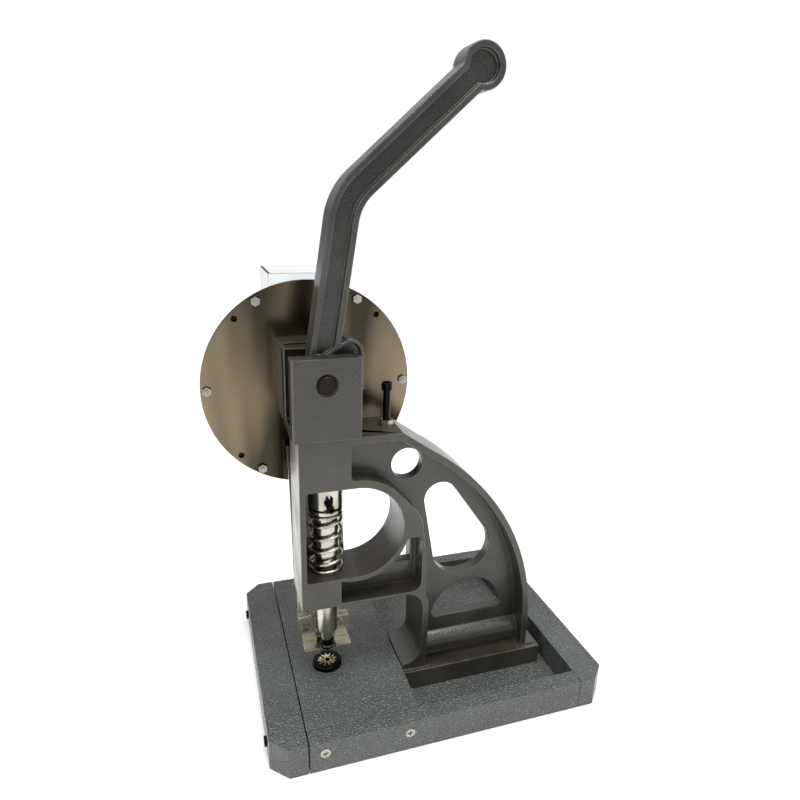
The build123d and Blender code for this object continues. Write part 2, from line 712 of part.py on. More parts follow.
def make_bracket():
    """Block that carries the drum, with a roofed pocket for the feed linkage and a slit on top."""
    block = box(bracket_far_x, ear_far_x, clevis_front_y, clevis_rear_y, deck_z + bracket_gap, clevis_top_z)
    block -= box(slot_far_x, slot_near_x + 1, pocket_front_y, pocket_rear_y, drum_z - pocket_floor_drop,
                 clevis_top_z - pocket_roof)
    block -= box(slit_far_x, slot_near_x + 1, pocket_front_y, pocket_rear_y, drum_z, clevis_top_z + 1)
    return block - rod_x(rotor_shaft_r + run_clearance, bracket_far_x - 1, slot_far_x + 1, drum_y, drum_z)


drum_bracket = make_bracket()
plate_far_x = plate_near_x - plate_thickness
flange_far_x = plate_far_x - flange_thickness
casing_far_x = plate_far_x - casing_depth
cover_far_x = casing_far_x - cover_thickness

drum_back_plate = rod_x(plate_r, plate_far_x, plate_near_x, drum_y, drum_z)
drum_back_plate -= rod_x(rotor_shaft_r + 1.0, plate_far_x - 1, plate_near_x + 1, drum_y, drum_z)

drum_casing = rod_x(casing_r, casing_far_x, plate_far_x, drum_y, drum_z)
drum_casing += rod_x(plate_r - 0.5, flange_far_x, plate_far_x, drum_y, drum_z)
drum_casing -= rod_x(casing_r - casing_wall, casing_far_x - 1, plate_far_x + 1, drum_y, drum_z)

drum_cover = rod_x(casing_r, cover_far_x, casing_far_x, drum_y, drum_z)
drum_cover = chamfer(drum_cover.edges().filter_by(GeomType.CIRCLE).sort_by(Axis.X)[0], 0.8)
drum_cover -= rod_x(rotor_shaft_r + 0.6, cover_far_x - 1, casing_far_x + 1, drum_y, drum_z)

drum_screw_r = 2.0
drum_screws = []
drum_nuts = []
for index in range(drum_screw_count):
    angle = radians(index * 360 / drum_screw_count)
    y = drum_y + screw_circle_r * cos(angle)
    z = drum_z + screw_circle_r * sin(angle)
    head_far_x = flange_far_x - drum_screw_r * 2
    screw = rod_x(drum_screw_r, flange_far_x, plate_near_x + 4.0, y, z)
    screw += rod_x(drum_screw_r * 1.7, head_far_x, flange_far_x, y, z)
    drum_screws.append(screw)
    hole = rod_x(drum_screw_r, flange_far_x - 1, plate_near_x + 1, y, z)
    drum_back_plate -= hole
    drum_casing -= hole
    nut = Pos(plate_near_x, y, z) * Rot(0, 90, 0) * extrude(RegularPolygon(3.5, 6, major_radius=False), 3.0)
    drum_nuts.append(nut - rod_x(drum_screw_r, plate_near_x - 1, plate_near_x + 5, y, z))
for angle_deg in (45, 135, 225, 315):
    angle = radians(angle_deg)
    y = drum_y + hole_circle_r * cos(angle)
    z = drum_z + hole_circle_r * sin(angle)
    drum_back_plate -= rod_x(2.4, plate_far_x - 1, plate_near_x + 1, y, z)

hopper_low_z = drum_z + 30
hopper_near_x = plate_far_x - hopper_margin
hopper_far_x = casing_far_x + hopper_margin
hopper = box(hopper_far_x, hopper_near_x, drum_y - hopper_width / 2, drum_y + hopper_width / 2,
             hopper_low_z, hopper_top_z)
hopper -= box(hopper_far_x + hopper_wall, hopper_near_x - hopper_wall, drum_y - hopper_width / 2 + hopper_wall,
              drum_y + hopper_width / 2 - hopper_wall, hopper_low_z - 1, hopper_top_z + 1)
hopper -= rod_x(casing_r, casing_far_x - 1, plate_far_x + 1, drum_y, drum_z)
mouth_margin = hopper_wall + 2
hopper_mouth = box(hopper_far_x + mouth_margin, hopper_near_x - mouth_margin,
                   drum_y - hopper_width / 2 + mouth_margin, drum_y + hopper_width / 2 - mouth_margin,
                   hopper_low_z, hopper_top_z)
drum_casing -= hopper_mouth

cover_screw_r = 1.5
cover_screws = []
for index in range(4):
    angle = radians(45 + index * 90)
    y = drum_y + (casing_r - 6.0) * cos(angle)
    z = drum_z + (casing_r - 6.0) * sin(angle)
    pillar = rod_x(3.2, casing_far_x, plate_far_x, y, z)
    drum_casing += pillar
    screw = rod_x(cover_screw_r, cover_far_x, casing_far_x + 6, y, z)
    drum_casing -= screw
    drum_cover -= screw
    cover_screws.append(screw + rod_x(cover_screw_r * 1.9, cover_far_x - cover_screw_r * 1.4, cover_far_x, y, z))

rotor_shaft = rod_x(rotor_shaft_r, cover_far_x - 6, arm_near_x, drum_y, drum_z)
rotor_gap = 3.0
paddle_r = casing_r - 12.0
wheel_near_x = plate_far_x - rotor_gap
wheel_far_x = casing_far_x + rotor_gap
rotor_wheel = rod_x(rotor_hub_r, wheel_far_x, wheel_near_x, drum_y, drum_z)
rotor_wheel += rod_x(paddle_r, wheel_near_x - 2.5, wheel_near_x, drum_y, drum_z)
for index in range(rotor_paddles):
    turn = Pos(0, drum_y, drum_z) * Rot(index * 360 / rotor_paddles, 0, 0)
    rotor_wheel += turn * box(wheel_far_x, wheel_near_x, 0, paddle_r, -1.2, 1.2)
rotor_wheel -= rod_x(rotor_shaft_r, wheel_far_x - 1, wheel_near_x + 1, drum_y, drum_z)
rotor_knob = rod_x(11.0, cover_far_x - 14, cover_far_x - 1.0, drum_y, drum_z)
rotor_knob -= rod_x(rotor_shaft_r, cover_far_x - 6, cover_far_x, drum_y, drum_z)

# ---------------------------------------------------------------- feed chute


def strip(points, thickness):
    """Front view of a bent strip: points offset square to each run."""
    upper = []
    lower = []
    for index, (x, z) in enumerate(points):
        before = points[max(index - 1, 0)]
        after = points[min(index + 1, len(points) - 1)]
        length = hypot(after[0] - before[0], after[1] - before[1])
        normal = ((after[1] - before[1]) / length, -(after[0] - before[0]) / length)
        upper.append((x + normal[0] * thickness / 2, z + normal[1] * thickness / 2))
        lower.append((x - normal[0] * thickness / 2, z - normal[1] * thickness / 2))
    return Polyline(*upper, *reversed(lower), close=True)


def make_chute():
    """Bent plate beside the column that narrows to a tongue leading down to the jaws."""
    front_view = Plane(origin=(0, chute_rear_y, 0), x_dir=(1, 0, 0), z_dir=(0, -1, 0))
    sheet = extrude(front_view * make_face(strip(chute_points, chute_thickness)), chute_rear_y - chute_front_y)
    sheet -= box(-frame_x, frame_x, chute_front_y - 1, ram_y - tongue_half_width, 0, tongue_top_z)
    return sheet - box(-frame_x, frame_x, ram_y + tongue_half_width, chute_rear_y + 1, 0, tongue_top_z)


def chute_x(z):
    """X of the middle of the plate at a height."""
    for (x_high, z_high), (x_low, z_low) in zip(chute_points, chute_points[1:]):
        if z_low <= z <= z_high:
            return x_low + (x_high - x_low) * (z - z_low) / (z_high - z_low)
    raise ValueError("height outside the plate")


feed_chute = make_chute()
chute_standoffs = []
column_far_x = frame_x - frame_half
for y, z in ((-104.0, 115.0), (-84.0, 115.0), (-104.0, 214.0), (-80.0, 214.0)):
    middle_x = chute_x(z)
    spacer = rod_x(standoff_r, middle_x, column_far_x, y, z) - make_chute()
    head_near_x = middle_x - chute_thickness
    shank = rod_x(standoff_screw_r, head_near_x, column_far_x + standoff_grip, y, z)
    head = rod_x(standoff_r, head_near_x - standoff_screw_r, head_near_x, y, z)
    chute_standoffs.append(spacer + shank + head)
    feed_chute -= shank
    frame_casting -= shank

# ---------------------------------------------------------------- jaws

carrier_far_x = frame_x - ram_low_r - 5.0
carrier_near_x = frame_x - ram_low_r - 0.6
carrier_low_z = jaw_pivot_z - carrier_drop
jaw_carrier = box(carrier_far_x, carrier_near_x, ram_y - carrier_half_y, ram_y + carrier_half_y,
                  carrier_low_z, arm_bottom_z)


def make_jaw(sign, pivot_dy, plate_top, lip_end):
    """Flat finger on a screw, with a lip under the punch that is cut back in front of it."""
    pivot_y = ram_y + sign * pivot_dy
    outline = [(lip_end, jaw_lip_high_z), *plate_top, (jaw_plate_inner, jaw_lip_high_z)]
    head_x = carrier_near_x + jaw_plate_thickness
    plate = slab(polygon(*[(ram_y + sign * dy, z) for dy, z in outline]), carrier_near_x, head_x)
    lip_ys = sorted([ram_y + sign * jaw_gap / 2, ram_y + sign * lip_end])
    lip = box(carrier_near_x, frame_x + jaw_lip_reach, lip_ys[0], lip_ys[1], jaw_lip_low_z, jaw_lip_high_z)
    lip -= rod_z(jaw_notch_r, jaw_lip_low_z - 1, jaw_lip_high_z + 1, frame_x, ram_y)
    lip -= box(frame_x, frame_x + jaw_lip_reach + 1, ram_y - jaw_notch_r, ram_y + jaw_notch_r,
               jaw_lip_low_z - 1, jaw_lip_high_z + 1)
    jaw = plate + lip
    screw = rod_x(jaw_screw_r, carrier_far_x, head_x + 0.2, pivot_y, jaw_pivot_z)
    head_end = head_x + jaw_screw_head_height
    screw += rod_x(jaw_screw_head_r, head_x + 0.2, head_end, pivot_y, jaw_pivot_z)
    socket = Pos(head_end, pivot_y, jaw_pivot_z) * Rot(0, 90, 0)
    screw -= socket * extrude(RegularPolygon(jaw_screw_head_r / 2, 6), jaw_screw_head_height * 0.6, both=True)
    jaw -= rod_x(jaw_screw_r + run_clearance, carrier_near_x - 1, head_x + 1, pivot_y, jaw_pivot_z)
    return jaw, screw


front_jaw, front_jaw_screw = make_jaw(-1, front_pivot_dy, front_plate, front_lip_end)
rear_jaw, rear_jaw_screw = make_jaw(1, rear_pivot_dy, rear_plate, rear_lip_end)
jaw_carrier -= front_jaw_screw
jaw_carrier -= rear_jaw_screw

# ---------------------------------------------------------------- files

nodes = {
    "base_floor_plate": floor_plate,
    "base_front_bar": front_bar,
    "base_rear_bar": rear_bar,
    "base_right_bar": right_bar,
    "base_left_bar": left_bar,
    "table_block": table_block,
    "frame_casting": frame_casting,
    "clevis_block": clevis_block,
    "drum_bracket": drum_bracket,
    "upper_bushing": upper_bushing,
    "lower_bushing": lower_bushing,
    "stop_screw": stop_screw,
    "stop_lock_nut": stop_lock_nut,
    "lower_die": lower_die,
    "die_crown": die_crown,
    "lever_handle": lever_handle,
    "pivot_pin": pivot_pin,
    "feed_crank": feed_crank,
    "feed_link": feed_link,
    "feed_arm": feed_arm,
    "ram_shaft": ram_shaft,
    "punch": punch,
    "punch_ring": punch_ring,
    "cross_screw": cross_screw,
    "spring_collar": spring_collar,
    "return_spring": return_spring,
    "drum_back_plate": drum_back_plate,
    "drum_casing": drum_casing,
    "drum_cover": drum_cover,
    "hopper": hopper,
    "rotor_shaft": rotor_shaft,
    "rotor_wheel": rotor_wheel,
    "rotor_knob": rotor_knob,
    "feed_chute": feed_chute,
    "jaw_carrier": jaw_carrier,
    "front_jaw": front_jaw,
    "rear_jaw": rear_jaw,
    "front_jaw_screw": front_jaw_screw,
    "rear_jaw_screw": rear_jaw_screw,
}
for name, shape in nodes.items():
    save(name, shape)
groups = {
    "base_side_screws": side_screws,
    "base_front_bolts": front_bolts,
    "foot_bolts": foot_bolts,
    "clevis_screws": clevis_screws,
    "drum_screws": drum_screws,
    "drum_nuts": drum_nuts,
    "cover_screws": cover_screws,
    "chute_standoffs": chute_standoffs,
}
for name, shapes in groups.items():
    save_group(name, shapes)
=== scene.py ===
# %% [markdown]
# # A hand lever press with a drum feeder
# The press sets small round fasteners. A bent cast lever turns on a pin, its cam pushes a sprung
# ram down onto a small die, and a round drum on the far side feeds the fasteners down a chute.
# The engineering model is already built, so this lesson starts from it: every piece is in metres,
# in one frame, and only shapes that the plain solids can't show are made again.

# %% Load the frame
import json
from math import cos, pi, radians, sin

import bpy
from mathutils import Matrix, Vector


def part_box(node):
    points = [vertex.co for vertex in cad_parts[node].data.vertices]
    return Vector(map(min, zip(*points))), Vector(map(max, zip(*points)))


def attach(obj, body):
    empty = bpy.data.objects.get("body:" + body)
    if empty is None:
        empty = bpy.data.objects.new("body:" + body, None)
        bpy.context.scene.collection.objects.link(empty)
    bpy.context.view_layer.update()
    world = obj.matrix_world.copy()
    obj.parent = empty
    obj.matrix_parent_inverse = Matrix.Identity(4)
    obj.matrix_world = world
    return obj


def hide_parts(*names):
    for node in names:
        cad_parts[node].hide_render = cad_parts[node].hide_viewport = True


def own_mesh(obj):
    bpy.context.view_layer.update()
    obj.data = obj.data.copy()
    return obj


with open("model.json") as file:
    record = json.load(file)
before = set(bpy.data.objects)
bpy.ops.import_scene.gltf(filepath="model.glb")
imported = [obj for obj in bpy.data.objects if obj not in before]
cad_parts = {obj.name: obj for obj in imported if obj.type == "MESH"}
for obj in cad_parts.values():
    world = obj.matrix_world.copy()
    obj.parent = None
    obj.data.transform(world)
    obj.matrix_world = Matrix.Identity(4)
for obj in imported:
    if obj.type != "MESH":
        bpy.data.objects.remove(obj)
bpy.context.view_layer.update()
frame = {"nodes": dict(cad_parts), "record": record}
nodes = frame["nodes"]
MM = 0.001

# %% [markdown]
# ## Camera
# The press is seen from its right side and a little from the front, from slightly above, with a
# wide lens held close. The camera's three axes come from its compass angle, its height angle and a
# small roll, and its place is measured from the centre of the base.

# %% Camera axes
camera_azimuth = radians(71.7)
camera_elevation = radians(17.72)
camera_roll = radians(1.47)
backward = Vector((
    sin(camera_azimuth) * cos(camera_elevation),
    -cos(camera_azimuth) * cos(camera_elevation),
    sin(camera_elevation),
))
level_right = (-backward).cross(Vector((0, 0, 1))).normalized()
level_up = level_right.cross(-backward)
camera_right = level_right * cos(camera_roll) + level_up * sin(camera_roll)
camera_up = level_up * cos(camera_roll) - level_right * sin(camera_roll)
print("camera looks along", -backward)

# %% Camera
camera_place = Vector((492.45, -179.52, 430.27)) * MM
focal_in_widths = 627.66 / 800
sensor_width = 36.0
camera_data = bpy.data.cameras.new("camera")
camera_data.sensor_width = sensor_width
camera_data.lens = focal_in_widths * sensor_width
camera_data.clip_start = 0.01
camera = bpy.data.objects.new("camera", camera_data)
bpy.context.scene.collection.objects.link(camera)
axes = Matrix((camera_right, camera_up, backward)).transposed().to_4x4()
camera.matrix_world = Matrix.Translation(camera_place) @ axes
bpy.context.scene.camera = camera
print("lens", round(camera_data.lens, 2))

# %% [markdown]
# ## Softboxes
# Dark paint shows its shape by the soft lights that it mirrors. Three square lamps face the middle
# of the press. The strong one hangs overhead and lights the level faces, a weaker one in front
# draws a sheen along the upright ones, and a faint one behind the right side lifts the rear.


# %% Softboxes
press_middle = Vector((0, 0, 0.25))


def softbox(name, place, size, watts):
    """A square lamp that faces the middle of the press."""
    lamp = bpy.data.lights.new(name, "AREA")
    lamp.size = size
    lamp.energy = watts
    holder = bpy.data.objects.new(name, lamp)
    bpy.context.scene.collection.objects.link(holder)
    aim = press_middle - Vector(place)
    turn = aim.to_track_quat("-Z", "Y").to_matrix().to_4x4()
    holder.matrix_world = Matrix.Translation(place) @ turn


softbox("key_softbox", (0.7, -1.4, 1.3), 0.6, 6.5)
softbox("side_softbox", (1.6, 0.9, 1.3), 0.7, 1.5)
softbox("top_softbox", (0.35, 0.15, 1.9), 0.8, 24)
bpy.context.scene.view_settings.view_transform = "Standard"

# %% [markdown]
# ## Material helpers
# A material is a tree of nodes that ends in one shader. Colours are written as the hex codes that
# a paint chart gives, and one function turns them to the linear values that light is reckoned in.
# Another function adds any node with its values, its links and, on a colour ramp, its stops.


# %% Material helpers
def linear(code):
    """Turns an sRGB hex colour such as "#808080" to linear red, green, blue and alpha."""
    shares = [int(code[i:i + 2], 16) / 255 for i in (1, 3, 5)]
    return [s / 12.92 if s <= 0.04045 else ((s + 0.055) / 1.055) ** 2.4 for s in shares] + [1.0]


def add(tree, kind, values=(), links=(), stops=(), **settings):
    """Adds one node with its settings, socket values and links, and a ramp's (place, colour) stops."""
    made = tree.nodes.new(kind)
    for setting, value in settings.items():
        setattr(made, setting, value)
    for socket, value in dict(values).items():
        made.inputs[socket].default_value = value
    for socket, source in dict(links).items():
        tree.links.new(source, made.inputs[socket])
    while stops and len(made.color_ramp.elements) < len(stops):
        made.color_ramp.elements.new(0.5)
    for index, (place, colour) in enumerate(stops):
        made.color_ramp.elements[index].position = place
        made.color_ramp.elements[index].color = linear(colour)
    return made


def start_material(name, **constants):
    """A new material with one Principled shader, whose fixed values are set on its sockets."""
    made = bpy.data.materials.new(name)
    made.use_nodes = True
    shader = made.node_tree.nodes["Principled BSDF"]
    for socket, value in constants.items():
        shader.inputs[socket.replace("_", " ")].default_value = value
    return made, made.node_tree, shader


def grains_of(size_mm):
    """Scale of a noise or cell pattern whose grains are about this many millimetres across."""
    return 1000.0 / size_mm


# A Mix node holds its colours in these sockets when it mixes colours.
first_colour = 6
second_colour = 7
mixed_colour = 2
print("a grain of 2 mm has the scale", grains_of(2.0))

# %% [markdown]
# ## Room
# The room's light falls mostly from above and is dim near the horizon, so upright faces stay
# darker than level ones. The backdrop itself is white.

# %% Room
horizon_light = 0.12
overhead_light = 1.35
overhead_from = 0.9
world = bpy.data.worlds.new("pale_room")
bpy.context.scene.world = world
world.use_nodes = True
room = world.node_tree
sky = room.nodes["Background"]
sky.inputs["Color"].default_value = (1.0, 1.0, 1.0, 1.0)
direction = add(room, "ShaderNodeTexCoord")
upward = add(room, "ShaderNodeSeparateXYZ", (), {"Vector": direction.outputs["Generated"]})
overhead = add(room, "ShaderNodeMapRange",
               {"From Max": overhead_from, "To Min": horizon_light, "To Max": overhead_light},
               {"Value": upward.outputs["Z"]})
path = add(room, "ShaderNodeLightPath")
seen = add(room, "ShaderNodeMath", (),
           {0: overhead.outputs["Result"], 1: path.outputs["Is Camera Ray"]}, operation="MAXIMUM")
room.links.new(seen.outputs["Value"], sky.inputs["Strength"])
print("room", world.name)

# %% [markdown]
# ## Casting paint
# The frame, clevis, bracket and lever are grey iron with a thick brushed-on enamel. It dries to a
# satin coat that is slightly warm, with a fine orange peel over the sand texture of the casting.
# The real peel is about a millimetre wide and is drawn at 1.6 mm, so that it shows. Dust and thin
# spots change the tone over a few centimetres, and small chips, which come in patches, show the
# pale primer.

# %% Grain of the casting paint
# Size in millimetres, detail and roughness of each noise.
casting_grain = {
    "tone": (34.0, 2.0, 0.5),
    "patch": (13.0, 3.0, 0.5),
    "sand": (6.0, 2.0, 0.5),
    "fleck": (3.0, 4.0, 0.7),
    "peel": (1.6, 2.0, 0.5),
}
primer = "#B9B6AC"
paint_relief = 0.5 * MM
print("casting grains", len(casting_grain))


# %% Casting paint
def casting_enamel(name, dark, light, chips, coat=0.35, gloss=0.5):
    """Warm grey enamel on sand-cast iron. More chips widens the share that shows primer."""
    made, tree, shader = start_material(
        name, Coat_Weight=coat, Coat_Roughness=0.16, Specular_IOR_Level=gloss)
    place = add(tree, "ShaderNodeTexCoord")
    grain = {}
    for use, (size_mm, detail, rough) in casting_grain.items():
        noise = add(tree, "ShaderNodeTexNoise",
                    {"Scale": grains_of(size_mm), "Detail": detail, "Roughness": rough},
                    {"Vector": place.outputs["Object"]})
        grain[use] = noise.outputs["Fac"]
    coat_tone = add(tree, "ShaderNodeValToRGB", (), {"Fac": grain["tone"]}, ((0.34, dark), (0.64, light)))
    chip = add(tree, "ShaderNodeMapRange", {"From Min": 0.80 - chips, "From Max": 0.82 - chips},
               {"Value": grain["fleck"]})
    patch = add(tree, "ShaderNodeMapRange", {"From Min": 0.55, "From Max": 0.6}, {"Value": grain["patch"]})
    chipped = add(tree, "ShaderNodeMath", (), {0: chip.outputs["Result"], 1: patch.outputs["Result"]},
                  operation="MULTIPLY")
    colour = add(tree, "ShaderNodeMix", {second_colour: linear(primer)},
                 {"Factor": chipped.outputs["Value"], first_colour: coat_tone.outputs["Color"]},
                 data_type="RGBA")
    tree.links.new(colour.outputs[mixed_colour], shader.inputs["Base Color"])
    rough = add(tree, "ShaderNodeMapRange",
                {"From Min": 0.3, "From Max": 0.7, "To Min": 0.3, "To Max": 0.4},
                {"Value": grain["tone"]})
    tree.links.new(rough.outputs["Result"], shader.inputs["Roughness"])
    height = add(tree, "ShaderNodeMath", {1: 0.8}, {0: grain["sand"], 2: grain["peel"]},
                 operation="MULTIPLY_ADD")
    bump = add(tree, "ShaderNodeBump", {"Strength": 0.9, "Distance": paint_relief},
               {"Height": height.outputs["Value"]})
    tree.links.new(bump.outputs["Normal"], shader.inputs["Normal"])
    return made


casting_paint = casting_enamel("satin_enamel_on_cast_iron", "#26231C", "#35322A", 0.03)
print(casting_paint.name, "nodes", len(casting_paint.node_tree.nodes))

# %% [markdown]
# ## Tones of the casting paint
# The same enamel looks different from place to place. It is thin and pale along the edges, darker
# and more chipped on the clevis, and cooler on the lever. The lever's sunk panels are drawn darker
# again, as painted shade. Where the lever turns in its slot, the iron is drawn near black, with
# hardly any shine.

# %% Tones of the casting paint
worn_paint = casting_enamel("enamel_thin_on_edges", "#33302A", "#48453D", 0.06)
lever_paint = casting_enamel("enamel_on_lever", "#29292A", "#353536", 0.02)
# The sunk panels' darker enamel is painted shade.
recess_painted_shade = casting_enamel("enamel_with_painted_recess_shade", "#1E1D1B", "#2A2826", 0.02)
# Near-black iron with hardly any shine, for the faces in the slots, the pocket and round the pin.
near_black_slot_iron = casting_enamel("near_black_iron_in_slots", "#0B0A08", "#14120F", 0.0, coat=0.0, gloss=0.12)
chipped_paint = casting_enamel("enamel_with_chips", "#1D1B17", "#2A2822", 0.12)
print(worn_paint.name, lever_paint.name, near_black_slot_iron.name)

# %% [markdown]
# ## Wrinkle paint
# The tray is sprayed with a blue-grey textured paint, which shrinks into tiny hard wrinkles as it
# bakes. Each wrinkle is half a millimetre wide in reality. Here they are drawn 1.3 mm wide, so
# that the sparkle of their crests can be seen at all. Pale specks mixed into the paint's colour add
# a painted glint to that sparkle.


# %% Wrinkle paint
wrinkle_mm = 1.3
glint_mm = 1.2
tray_tone_mm = 45.0
wrinkle_relief = 1.1 * MM


def wrinkle_paint(name, dark, light, glint_colour):
    """Textured blue-grey paint with wrinkles, and pale specks in its colour as a painted glint."""
    made, tree, shader = start_material(name)
    place = add(tree, "ShaderNodeTexCoord")
    wrinkles = add(tree, "ShaderNodeTexVoronoi", {"Scale": grains_of(wrinkle_mm)},
                   {"Vector": place.outputs["Object"]}, feature="SMOOTH_F1")
    tone = add(tree, "ShaderNodeTexNoise", {"Scale": grains_of(tray_tone_mm), "Detail": 2.0},
               {"Vector": place.outputs["Object"]})
    # Pale specks from this noise are mixed into the colour as a painted glint.
    painted_glint_noise = add(tree, "ShaderNodeTexNoise", {"Scale": grains_of(glint_mm), "Detail": 1.0},
                 {"Vector": place.outputs["Object"]})
    coat_tone = add(tree, "ShaderNodeValToRGB", (), {"Fac": tone.outputs["Fac"]}, ((0.3, dark), (0.7, light)))
    glint = add(tree, "ShaderNodeMapRange", {"From Min": 0.60, "From Max": 0.72, "To Max": 0.34},
                {"Value": painted_glint_noise.outputs["Fac"]})
    colour = add(tree, "ShaderNodeMix", {second_colour: linear(glint_colour)},
                 {"Factor": glint.outputs["Result"], first_colour: coat_tone.outputs["Color"]},
                 data_type="RGBA")
    tree.links.new(colour.outputs[mixed_colour], shader.inputs["Base Color"])
    rough = add(tree, "ShaderNodeMapRange",
                {"From Max": 0.8, "To Min": 0.14, "To Max": 0.36},
                {"Value": wrinkles.outputs["Distance"]})
    tree.links.new(rough.outputs["Result"], shader.inputs["Roughness"])
    bump = add(tree, "ShaderNodeBump", {"Strength": 1.0, "Distance": wrinkle_relief},
               {"Height": wrinkles.outputs["Distance"]})
    tree.links.new(bump.outputs["Normal"], shader.inputs["Normal"])
    return made


base_paint = wrinkle_paint("blue_grey_wrinkle_paint", "#3B3E3B", "#494D49", "#9AA3A8")
print(base_paint.name)

# %% [markdown]
# ## Scratched metals
# Every metal here is a finish on steel, iron or brass. Lines are noise stretched along one axis,
# because a cutter or an abrasive belt drags each grain into a scratch. The real lines are a tenth
# of a millimetre apart and are drawn 0.7 to 2.5 mm apart, so that they show. The first of these
# metals is the milled front of the column, where the cutter leaves long level lines.


# %% Scratched metals
metal_tone_mm = 26.0


def scratched_metal(name, dark, light, stretch, roughness, depth_mm, turn=(0.0, 0.0, 0.0), line_mm=0.9):
    """Metal with fine lines. stretch is a line's length over its width along each axis."""
    made, tree, shader = start_material(name, Metallic=1.0)
    place = add(tree, "ShaderNodeTexCoord")
    turned = add(tree, "ShaderNodeMapping", {"Rotation": turn}, {"Vector": place.outputs["Object"]})
    drawn = add(tree, "ShaderNodeMapping", {"Scale": [1.0 / s for s in stretch]},
                {"Vector": turned.outputs["Vector"]})
    lines = add(tree, "ShaderNodeTexNoise", {"Scale": grains_of(line_mm), "Detail": 4.0, "Roughness": 0.6},
                {"Vector": drawn.outputs["Vector"]})
    tone = add(tree, "ShaderNodeTexNoise", {"Scale": grains_of(metal_tone_mm), "Detail": 2.0},
               {"Vector": place.outputs["Object"]})
    both = add(tree, "ShaderNodeMath", {1: 0.5}, {0: lines.outputs["Fac"], 2: tone.outputs["Fac"]},
               operation="MULTIPLY_ADD")
    tint = add(tree, "ShaderNodeValToRGB", (), {"Fac": both.outputs["Value"]}, ((0.5, dark), (0.95, light)))
    tree.links.new(tint.outputs["Color"], shader.inputs["Base Color"])
    rough = add(tree, "ShaderNodeMapRange",
                {"From Min": 0.3, "From Max": 0.7, "To Min": roughness - 0.07, "To Max": roughness + 0.07},
                {"Value": lines.outputs["Fac"]})
    tree.links.new(rough.outputs["Result"], shader.inputs["Roughness"])
    bump = add(tree, "ShaderNodeBump", {"Strength": 0.3, "Distance": depth_mm * MM},
               {"Height": lines.outputs["Fac"]})
    tree.links.new(bump.outputs["Normal"], shader.inputs["Normal"])
    return made


milled_across = (14, 14, 1)
cut_tilt = (0.5, 0.0, 0.0)
milled_steel = scratched_metal(
    "milled_cast_iron", "#7F7D78", "#B5B3AD", milled_across, 0.42, 0.08, cut_tilt, line_mm=1.2)
print(milled_steel.name, "nodes", len(milled_steel.node_tree.nodes))

# %% [markdown]
# ## Metal finishes
# Nickel plate is smooth and faintly yellow, zinc plate is duller and whiter, and black oxide is a
# dark skin that still shines like metal. The drum is brushed along its height, and the spring's
# drawn wire is the brightest of all.

# %% Metal finishes
even = (1, 1, 1)
ringed = (1, 1, 0.12)
brushed_up = (1, 1, 40)
plated_steel = scratched_metal("nickel_plated_steel", "#8E8B81", "#C4C1B8", ringed, 0.17, 0.02)
spring_steel = scratched_metal("bright_spring_steel", "#9A978F", "#D5D3CC", even, 0.24, 0.02)
drum_steel = scratched_metal(
    "brushed_stainless_sheet", "#6E665A", "#A59A8C", brushed_up, 0.24, 0.01, line_mm=0.7)
zinc_steel = scratched_metal("zinc_plated_steel", "#85827A", "#B5B2A9", even, 0.33, 0.03)
pin_steel = scratched_metal("hardened_pin_steel", "#221D1A", "#322C28", even, 0.42, 0.03)
black_oxide_and_hole_shade = scratched_metal("black_oxide_steel_and_hole_shade", "#121211", "#1F1E1D", even, 0.36, 0.03)
brass = scratched_metal("turned_brass", "#6B6350", "#D8CBA6", even, 0.22, 0.02, line_mm=2.5)
dull_nickel = scratched_metal("dull_nickel_plate", "#A9A699", "#CDCABD", even, 0.22, 0.03, line_mm=1.5)
print("metals", plated_steel.name, zinc_steel.name, brass.name)

# %% [markdown]
# ## Rolled sheet
# The drum's back plate is rolled steel sheet. It is smooth enough to mirror the room, and its
# polish changes in broad upright bands, about 70 mm wide. Its colour holds a painted reflection of a
# warm brown room, lighter and darker in the same bands.


# %% Rolled sheet
band_mm = 70.0
band_stretch = (1.0, 1.0, 0.22)


def banded_sheet(name, dark, middle, light):
    """Rolled sheet whose polish, and a brown painted reflection in its colour, change in broad upright bands.
    """
    made, tree, shader = start_material(name, Metallic=1.0)
    place = add(tree, "ShaderNodeTexCoord")
    drawn = add(tree, "ShaderNodeMapping", {"Scale": band_stretch}, {"Vector": place.outputs["Object"]})
    bands = add(tree, "ShaderNodeTexNoise", {"Scale": grains_of(band_mm), "Detail": 2.0},
                {"Vector": drawn.outputs["Vector"]})
    # The brown tint and its bands are a painted reflection of a warm room.
    tint = add(tree, "ShaderNodeValToRGB", (), {"Fac": bands.outputs["Fac"]},
               ((0.36, dark), (0.48, middle), (0.62, light)))
    tree.links.new(tint.outputs["Color"], shader.inputs["Base Color"])
    rough = add(tree, "ShaderNodeMapRange",
                {"From Min": 0.3, "From Max": 0.7, "To Min": 0.16, "To Max": 0.26},
                {"Value": bands.outputs["Fac"]})
    tree.links.new(rough.outputs["Result"], shader.inputs["Roughness"])
    return made


disc_steel = banded_sheet("rolled_sheet_with_painted_reflection", "#38352C", "#6F6352", "#93866F")
print(disc_steel.name)

# %% [markdown]
# ## Clear acrylic
# The hopper and the drum's cover are clear acrylic sheet, with a refractive index of 1.49. Handling
# leaves faint scuffs in patches about a centimetre wide, which blur what is seen through them.


# %% Clear acrylic
scuff_mm = 12.0


